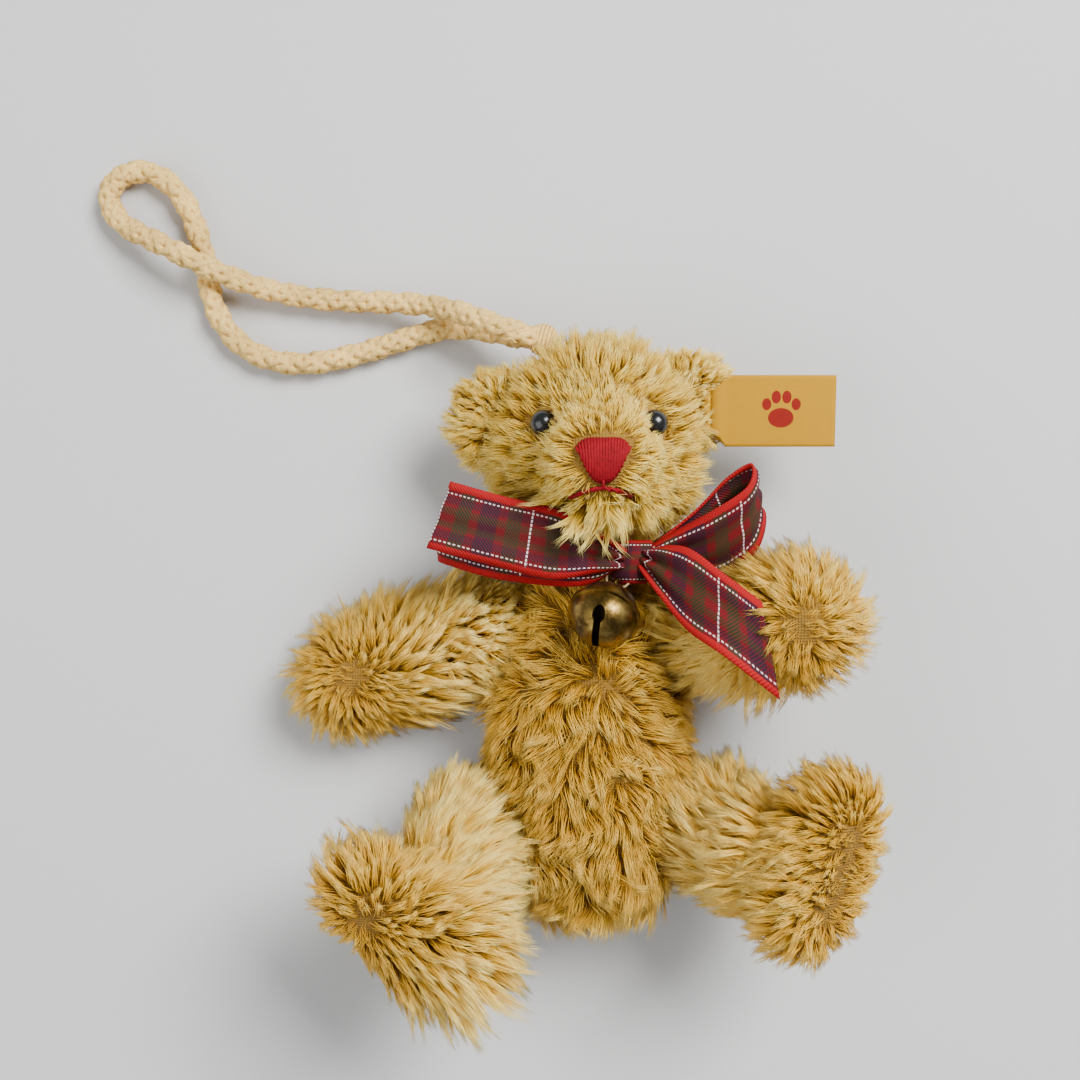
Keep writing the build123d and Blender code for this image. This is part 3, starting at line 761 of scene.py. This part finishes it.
def embroidered_nose():
    """Upright satin stitches side by side over the end of the muzzle."""
    paths = []
    top, bottom, widest = 2.9, -2.45, 3.2
    for x in np.linspace(-widest, widest, 19):
        aside = abs(x) / widest
        low = bottom + 3.5 * aside ** 2.3
        high = top - 1.1 * aside ** 5
        rows = np.linspace(high, low, 9)
        puff = np.sin(np.linspace(0.15, math.pi - 0.15, 9)) * 0.32 + 0.12
        squeeze = np.linspace(1.0, 0.86, 9)
        paths.append([on_face(x * narrow, y, up) for y, up, narrow in zip(rows, puff, squeeze)])
    points, faces = tube(paths, 0.24 * MM, 6)
    obj = object_from("nose_stitches", points, faces, EMBROIDERY)
    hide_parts("nose_embroidery")
    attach(obj, "head")
    return obj


def stitched_mouth():
    """One upright stitch and two that fall away from it, each of two twisted strands."""
    lines = [[(0, -2.2), (0, -3.1)],
             [(0, -3.0), (2.0, -3.5), (4.0, -4.7)],
             [(0, -3.0), (-2.0, -3.5), (-4.0, -4.7)]]
    twist_radius = 0.15
    paths = []
    for line in lines:
        rows = smooth_rows(line, 16)
        for phase in (0, math.pi):
            path = []
            for i, (x, y) in enumerate(rows):
                twist = i * 0.9 + phase
                path.append(on_face(x, y + twist_radius * math.cos(twist),
                                    0.5 + twist_radius * math.sin(twist)))
            paths.append(path)
    points, faces = tube(paths, 0.2 * MM, 6)
    obj = object_from("mouth_thread", points, faces, EMBROIDERY)
    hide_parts("mouth_stitches")
    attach(obj, "head")
    return obj


face_pieces = [embroidered_nose(), stitched_mouth()]


# ---------------- tag

def woven_tag():
    """The label: a hem rolled over its thread, then a flap that curls a little."""
    hem = np.array(pivot("tag_flap")) / MM
    up, out = np.array(FACE_UP), np.array(FACE_OUT)
    right = np.array(FACE_RIGHT)
    hem_radius, flap_start, flap_end = 0.43, 2.4, 17
    hem_half, flap_half = 3.0, 4.75
    angles = np.linspace(0.9 - 2 * math.pi, -0.4, 14)
    profile = [(hem_radius * math.cos(angle), hem_radius * math.sin(angle)) for angle in angles]
    profile += [(x, 0.3) for x in (0.9, 1.6)]
    for x in np.linspace(flap_start, flap_end, 30):
        profile.append((x, 0.12 * math.sin((x - flap_start) / (flap_end - flap_start) * math.pi)))
    columns = 21
    grid = np.empty((len(profile), columns, 3))
    uv_grid = np.empty((len(profile), columns, 2))
    for row, (x, z) in enumerate(profile):
        shoulder = min(1.0, max(0.0, (x - 1.2) / 1.2))
        half = hem_half + (flap_half - hem_half) * shoulder
        for column, across in enumerate(np.linspace(-1, 1, columns)):
            grid[row, column] = hem + right * x + up * across * half + out * z
            uv_grid[row, column] = (x - (flap_start + flap_end) / 2, across * half)
    obj = sheet("tag_label", grid * MM, tag_material(), 0.22 * MM, "Tag", uv_grid)
    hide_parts("ear_tag")
    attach(obj, "ear_tag")
    return obj


tag_piece = woven_tag()


# ---------------- fur

STATIONS = np.array((0.0, 0.36, 0.7, 1.0))       # how far up a strand its four points are
THICKNESS = np.array((1.0, 0.95, 0.62))          # of its three rings; the fourth point is the tip


def strand_faces():
    """Triangles of one strand: a root cap, two rings of sides and a pointed tip."""
    pairs = ((0, 1), (1, 2), (2, 0))
    faces = [(0, 1, 2)]
    for ring in (0, 3):
        for a, b in pairs:
            faces += [(ring + a, ring + 3 + a, ring + b), (ring + b, ring + 3 + a, ring + 3 + b)]
    faces += [(6 + a, 9, 6 + b) for a, b in pairs]
    return np.array(faces)


def scatter(skin, count, rng):
    """Random places on a skin and its smooth normals there."""
    mesh = skin.data
    mesh.calc_loop_triangles()
    tris = threes(mesh.loop_triangles, "vertices", np.int32)
    points = threes(mesh.vertices, "co")
    normals = threes(mesh.vertices, "normal")
    a, b, c = points[tris[:, 0]], points[tris[:, 1]], points[tris[:, 2]]
    area = np.linalg.norm(np.cross(b - a, c - a), axis=1)
    chosen = rng.choice(len(tris), count, p=area / area.sum())
    u, v = rng.random(count), rng.random(count)
    over = u + v > 1
    u[over], v[over] = 1 - u[over], 1 - v[over]
    weights = np.stack([1 - u - v, u, v], 1)[:, :, None]
    roots = (points[tris[chosen]] * weights).sum(1)
    ways = (normals[tris[chosen]] * weights).sum(1)
    return roots, ways / np.linalg.norm(ways, axis=1, keepdims=True)


def unit(rows):
    """Directions of length 1."""
    return rows / np.maximum(np.linalg.norm(rows, axis=1, keepdims=True), 1e-9)


def flattened(ways, normals):
    """The part of some directions that lies along the skin."""
    return unit(ways - normals * (ways * normals).sum(1, keepdims=True))


def swell(points, size, seed):
    """Smooth uneven values from -1 to 1 over space, about one wave per size."""
    rng = np.random.default_rng(seed)
    total = np.zeros(len(points))
    for _ in range(5):
        way = rng.normal(size=3)
        way *= 2 * math.pi / size / np.linalg.norm(way) * rng.uniform(0.6, 1.4)
        total += np.sin(points @ way + rng.uniform(0, 6.28))
    return total / 3


def clumps(roots, rng):
    """For every strand, the strand that leads its clump."""
    leaders = rng.choice(len(roots), max(1, len(roots) // STRANDS_PER_CLUMP), replace=False)
    tree = kdtree.KDTree(len(leaders))
    for place, leader in enumerate(leaders):
        tree.insert(roots[leader], place)
    tree.balance()
    return np.array([leaders[tree.find(root)[1]] for root in roots])


def stopped(paths, obstacles):
    """How much of each strand stays clear of the obstacles, from 0 to 1."""
    share = np.ones(len(paths))
    for row, path in enumerate(paths):
        places = [Vector(place) for place in path]
        if obstacles.find_nearest(places[0], STRAND_CLEARANCE)[0] is not None:
            share[row] = 0
            continue
        for step in range(3):
            way = places[step + 1] - places[step]
            hit = obstacles.ray_cast(places[step], way, way.length)
            if hit[0] is not None:
                part = hit[3] / max(way.length, 1e-9)
                met = STATIONS[step] + part * (STATIONS[step + 1] - STATIONS[step])
                share[row] = 0.9 * met
                break
    return share


def shortened(paths, share):
    """Each strand's path, kept only as far as its share."""
    result = np.empty_like(paths)
    for station, place in enumerate(STATIONS):
        target = place * share
        index = np.clip(np.searchsorted(STATIONS, target, side="right") - 1, 0, 2)
        low, high = STATIONS[index], STATIONS[index + 1]
        t = ((target - low) / (high - low))[:, None]
        rows = np.arange(len(paths))
        result[:, station] = paths[rows, index] * (1 - t) + paths[rows, index + 1] * t
    return result


def strand_mesh(name, paths, shade, material, rng):
    """Closed three-sided tapering strands as one mesh, with a shade and length texture."""
    count = len(paths)
    main = unit(paths[:, 3] - paths[:, 0])
    side_way = unit(np.cross(main, rng.normal(size=(count, 3))))
    other = np.cross(main, side_way)
    points = np.empty((count, 10, 3))
    for ring in range(3):
        radius = STRAND_RADIUS * THICKNESS[ring]
        for corner in range(3):
            angle = 2 * math.pi * corner / 3
            spoke = math.cos(angle) * side_way + math.sin(angle) * other
            points[:, ring * 3 + corner] = paths[:, ring] + radius * spoke
    points[:, 9] = paths[:, 3]
    faces = (strand_faces()[None] + (np.arange(count) * 10)[:, None, None]).reshape(-1, 3)
    mesh = bpy.data.meshes.new(name)
    mesh.vertices.add(count * 10)
    mesh.vertices.foreach_set("co", points.astype(np.float32).ravel())
    mesh.loops.add(len(faces) * 3)
    mesh.loops.foreach_set("vertex_index", faces.astype(np.int32).ravel())
    mesh.polygons.add(len(faces))
    mesh.polygons.foreach_set("loop_start", np.arange(0, len(faces) * 3, 3, dtype=np.int32))
    mesh.polygons.foreach_set("use_smooth", np.ones(len(faces), bool))
    mesh.update(calc_edges=True)
    layer = mesh.uv_layers.new(name="OFBake")
    corner_shift = np.array((-0.012, 0.0, 0.012) * 3 + (0.0,))
    u = np.clip(shade, 0.03, 0.97)[:, None] + corner_shift[None]
    v = np.repeat(STATIONS[None, [0, 0, 0, 1, 1, 1, 2, 2, 2, 3]], count, 0) * 0.96 + 0.02
    spots = np.stack([u, v], -1).reshape(-1, 2)
    layer.data.foreach_set("uv", spots[faces.ravel()].astype(np.float32).ravel())
    mesh.materials.append(material)
    return link(bpy.data.objects.new(name, mesh))


def grow_fur(name, body, skin, count, style, material, seed, obstacles=None):
    """Grows clumped strands over a skin, in pieces that each stay light."""
    rng = np.random.default_rng(seed)
    roots, normals = scatter(skin, count * 3, rng)
    look = style(roots, normals)
    kept = np.flatnonzero(rng.random(len(roots)) < look["keep"])[:count]
    roots, normals = roots[kept], normals[kept]
    look = {key: value[kept] for key, value in look.items()}
    leader = clumps(roots, rng)
    comb = flattened(look["comb"], normals)
    swing = rng.normal(size=len(roots))[leader] * 0.3 + rng.normal(size=len(roots)) * 0.12
    comb = comb * np.cos(swing)[:, None] + np.cross(normals, comb) * np.sin(swing)[:, None]
    length = look["length"] * rng.uniform(0.8, 1.15, len(roots))[leader]
    length = length * rng.uniform(0.82, 1.08, len(roots))
    lean = np.clip(look["lean"] + rng.normal(size=len(roots))[leader] * 0.07, 0.02, 0.97)
    paths = np.empty((len(roots), 4, 3))
    paths[:, 0] = roots - normals * 0.15 * MM
    for step, share in enumerate((0.6, 0.95, 1.06)):
        angle = (lean * share * math.pi / 2)[:, None]
        stretch = ((STATIONS[step + 1] - STATIONS[step]) * length)[:, None]
        paths[:, step + 1] = paths[:, step] + stretch * (normals * np.cos(angle) + comb * np.sin(angle))
    offset = roots - roots[leader]
    for step, (pull, gather) in enumerate(((0.0, 0.0), (0.5, 0.35), (0.72, 0.68), (0.78, 0.85))):
        target = paths[leader, step] + offset * (1 - gather)
        share = (pull * look["clump"])[:, None]
        paths[:, step] = paths[:, step] * (1 - share) + target * share
        wander = rng.normal(size=(len(roots), 3)) * 0.16 * MM * STATIONS[step]
        paths[:, step] += wander
    paths[:, 1:, 2] = np.maximum(paths[:, 1:, 2], 0.12 * MM)
    leader_shade = rng.normal(size=len(roots))[leader]
    if obstacles is not None:
        share = stopped(paths, obstacles)
        paths = shortened(paths, share)
        clear = share > 0.08
        paths, leader_shade = paths[clear], leader_shade[clear]
        look = {key: value[clear] for key, value in look.items()}
    shade = look["shade"] + leader_shade * 0.13 + rng.normal(size=len(paths)) * 0.07
    pieces = max(1, math.ceil(len(paths) / STRANDS_PER_PIECE))
    for number, rows in enumerate(np.array_split(np.arange(len(paths)), pieces)):
        piece_name = name if pieces == 1 else f"{name}_{number + 1}"
        obj = strand_mesh(piece_name, paths[rows], shade[rows], material, rng)
        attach(obj, body)


def fade(value, low, high):
    """0 below low, 1 above high, smooth between."""
    t = np.clip((value - low) / (high - low), 0, 1)
    return t * t * (3 - 2 * t)


def obstacles_from(objects):
    """One search tree over several objects."""
    points, faces = [], []
    for obj in objects:
        shift = len(points)
        points += [obj.matrix_world @ vertex.co for vertex in obj.data.vertices]
        faces += [tuple(index + shift for index in face.vertices) for face in obj.data.polygons]
    return BVHTree.FromPolygons(points, faces)


bpy.context.view_layer.update()
trim = obstacles_from(ribbons + face_pieces + [cord_braid, tag_piece] + [
    nodes[name] for name in ("eye_left", "eye_right", "bell_upper_shell", "bell_lower_shell")])


def whorl_on(skin_name, place, towards):
    """The place on a skin that a ray from outside meets, as an array."""
    tree = BVHTree.FromObject(skins[skin_name], bpy.context.evaluated_depsgraph_get())
    towards = Vector(towards).normalized()
    start = Vector(place) + towards * 40 * MM
    return np.array(tree.ray_cast(start, -towards)[0])


TOE_WAYS = {"left": (0.26, 0.97, 0), "right": (-0.82, 0.57, 0)}      # from each hip


def limb_style(side, kind):
    """Fur combed away from a whorl on the paw, short at the joint and thin at the whorl."""
    body = f"{kind}_{side}"
    joint = np.array(pivot(f"{body}_{'raise' if kind == 'arm' else 'swing'}"))
    cloth = SKINS[body][1]
    if kind == "arm":
        tip = np.array(farthest(joint, *cloth))
        along = unit((tip - joint)[None])[0]
        whorl = whorl_on(body, tip - along * 6.0 * MM, UP)
        bare = 1.3
    else:
        sole = corners(f"leg_{side}_sole")
        toe = sole[((sole - joint) @ np.array(TOE_WAYS[side])).argmax()]
        centre = np.array(middle(f"leg_{side}_sole"))
        whorl = centre + (toe - centre) * 0.45
        along = unit((centre - joint)[None])[0]
        bare = 1.1
    seed = len(body) * 7 + (side == "left")
    parting = (centre - toe) * 0.9 if body == "leg_left" else np.zeros(3)

    def style(roots, normals):
        run = np.clip(((roots - whorl) @ parting) / max(parting @ parting, 1e-12), 0, 1)
        away = roots - whorl - run[:, None] * parting
        distance = np.linalg.norm(away, axis=1) / MM
        from_joint = ((roots - joint) @ along) / MM
        uneven = swell(roots, 9 * MM, seed)
        length = (1.7 + 6.2 * fade(distance, 0.8, 9.0)) * (0.45 + 0.55 * fade(from_joint, -2, 8))
        length = length * (1 + 0.15 * uneven) * MM
        spin = np.cross(normals, away) * 0.35 * np.sin(distance * 0.25)[:, None]
        lean = 0.72 - 0.25 * fade(distance, 5, 12) * fade(from_joint, 12, 20)
        # Shade: dark at the whorl, where the brown backing shows, and paler away from it as painted light on the
        # limb's fringes; uneven adds random tone.
        shade = 0.02 + 0.28 * fade(distance, 0.6, 3) + 0.55 * fade(distance, 3, 11) + 0.18 * uneven
        keep = 0.28 + 0.72 * fade(distance, bare, bare + 2.2)
        keep = keep * np.where(from_joint < -2.5, 0.25, 1.0)
        return {"comb": away + spin, "length": length, "lean": lean, "shade": shade, "keep": keep,
                "clump": np.ones(len(roots))}
    return style


def torso_style(roots, normals):
    """Tangled fur that spreads from the middle of the belly."""
    belly = np.array((0, 9 * MM, 0))
    away = unit((roots - belly) * (1, 1, 0))
    tangle = np.stack([swell(roots, size * MM, seed) for size, seed in ((7, 5), (6, 6), (9, 7))], 1)
    y = roots[:, 1] / MM
    hem = fade(-y, 8, 18)
    length = (4.6 + 0.9 * tangle[:, 2]) * (0.5 + 0.5 * fade(24 - y, 0, 8)) * (1 + 0.2 * hem) * MM
    # The shade is paler at the hem, painted light on the torso's lower edge; the tangle adds random tone.
    return {"comb": away + 1.1 * tangle - (0, 0.25, 0), "length": length, "lean": 0.66 + 0.12 * tangle[:, 0],
            "shade": 0.20 + 0.16 * tangle[:, 1] + 0.2 * hem, "keep": np.full(len(roots), 0.95),
            "clump": np.full(len(roots), 0.72)}


def head_style(roots, normals):
    """Fur combed outward from the nose: short on the face, long under the chin and at the cord."""
    eye_aside, eye_height = 7.05, 3.9
    local = (roots - np.array(HEAD)) / MM
    x, y, z = local[:, 0], local @ np.array(FACE_UP), local @ np.array(FACE_OUT)
    uneven = swell(roots, 6 * MM, 11)
    front = fade(z, 5, 15)
    chin = fade(-y, 2.6, 5) * fade(z, 9, 15) * (1 - fade(np.abs(x), 4.5, 7))
    length = 4.4 - 1.9 * front + 4.6 * chin
    to_cord = np.linalg.norm(roots - np.array(pivot("cord_swing")), axis=1) / MM
    at_cord = 1 - fade(to_cord, 4, 8)
    length = (length + 3.6 * at_cord) * (1 + 0.2 * uneven) * MM
    aside = np.outer(x + 1.5 * uneven, FACE_RIGHT)
    comb = aside + np.outer(y, FACE_UP) - np.outer(6 * (0.9 - 1.3 * chin), FACE_OUT)
    eye_gap = np.hypot(np.abs(x) - eye_aside, y - eye_height)
    near_eye = (1 - fade(eye_gap, 1.6, 2.8)) * (z > 5)
    nose_half = 1.1 + 1.9 * fade(y, -2.6, 0.6)
    on_nose = (np.abs(x) < nose_half) & (y < 2.8) & (y > -2.3) & (z > 14)
    on_mouth = (1 - fade(np.abs(y + 2.9 + 0.42 * np.abs(x)), 0.7, 1.5)) * (np.abs(x) < 4.2) * (z > 12)
    length = length * (1 - 0.45 * near_eye) * (1 - 0.65 * on_mouth)
    keep = np.where(on_nose, 0.0, 1.0) * (1 - 0.2 * near_eye)
    return {"comb": comb, "length": length, "lean": 0.54 + 0.08 * uneven - 0.3 * at_cord,
            "shade": 0.46 + 0.2 * uneven + 0.5 * chin + 0.12 * front, "keep": keep,
            "clump": 0.7 + 0.3 * chin}


def ear_style(side):
    """Fur combed from the middle of the ear to its rim and past it."""
    hub = np.array(middle(f"ear_{side}_front", f"ear_{side}_back"))
    centre = np.array(HEAD) + (hub - np.array(HEAD)) * 0.8

    def style(roots, normals):
        away = roots - centre
        out = np.linalg.norm(roots - hub, axis=1) / MM
        uneven = swell(roots, 5 * MM, 3)
        return {"comb": away, "length": (2.6 + 0.9 * fade(out, 2, 5)) * (1 + 0.2 * uneven) * MM,
                "lean": 0.6 + 0 * out, "shade": 0.5 + 0.2 * uneven, "keep": np.full(len(roots), 0.9),
                "clump": np.full(len(roots), 0.8)}
    return style


grow_fur("torso_fur", "torso", skins["torso"], 30000, torso_style, BODY_FUR, 1, trim)
grow_fur("head_fur", "head", skins["head"], 40000, head_style, HEAD_FUR, 2, trim)
for number, side in enumerate(("left", "right")):
    grow_fur(f"ear_{side}_fur", "head", skins[f"ear_{side}"], 5000,
             ear_style(side), HEAD_FUR, 10 + number, trim)
    grow_fur(f"arm_{side}_fur", f"arm_{side}", skins[f"arm_{side}"], 21000,
             limb_style(side, "arm"), BODY_FUR, 20 + number, trim)
    grow_fur(f"leg_{side}_fur", f"leg_{side}", skins[f"leg_{side}"], 26000,
             limb_style(side, "leg"), BODY_FUR, 30 + number)


# ---------------- CAD parts that stay

for subpart in frame["record"]["subparts"]:
    if subpart["material_slot"] in CAD_MATERIALS:
        part = nodes[subpart["node"]]
        part.data.materials.clear()
        part.data.materials.append(CAD_MATERIALS[subpart["material_slot"]])


# ---------------- floor, camera, lights

def floor():
    """A plain pale floor just under the bear."""
    m = Nodes("studio_floor")
    m.set(Base_Color=rgb(0.52, 0.515, 0.51), Roughness=0.9)
    bpy.ops.mesh.primitive_plane_add(size=3, location=(0, 0, FLOOR_LEVEL))
    plane = bpy.context.object
    plane.name = "floor"
    plane.data.materials.append(m.material)


def light(name, place, size, watts, aim=(0, 0.03, 0.01)):
    """A square lamp turned to the middle of the bear."""
    lamp = bpy.data.lights.new(name, "AREA")
    lamp.size = size
    lamp.energy = watts
    obj = link(bpy.data.objects.new(name, lamp))
    obj.location = place
    obj.rotation_euler = (Vector(place) - Vector(aim)).to_track_quat("Z", "Y").to_euler()


def sky(strength):
    """Even, slightly cool light from all round."""
    world = bpy.data.worlds.new("studio")
    world.use_nodes = True
    background = world.node_tree.nodes["Background"]
    background.inputs["Color"].default_value = rgb(0.9, 0.95, 1.0)
    background.inputs["Strength"].default_value = strength
    bpy.context.scene.world = world


def camera(place):
    """A camera that looks straight down at the floor."""
    data = bpy.data.cameras.new("camera")
    data.lens = 50
    data.sensor_width = 36
    obj = link(bpy.data.objects.new("camera", data))
    obj.location = place
    bpy.context.scene.camera = obj


floor()
light("key", (0.28, 0.30, 0.50), 0.30, 10.0)
light("fill", (-0.45, -0.15, 0.45), 0.6, 3.5)
sky(0.36)
camera((-0.0066, 0.027, 0.214))
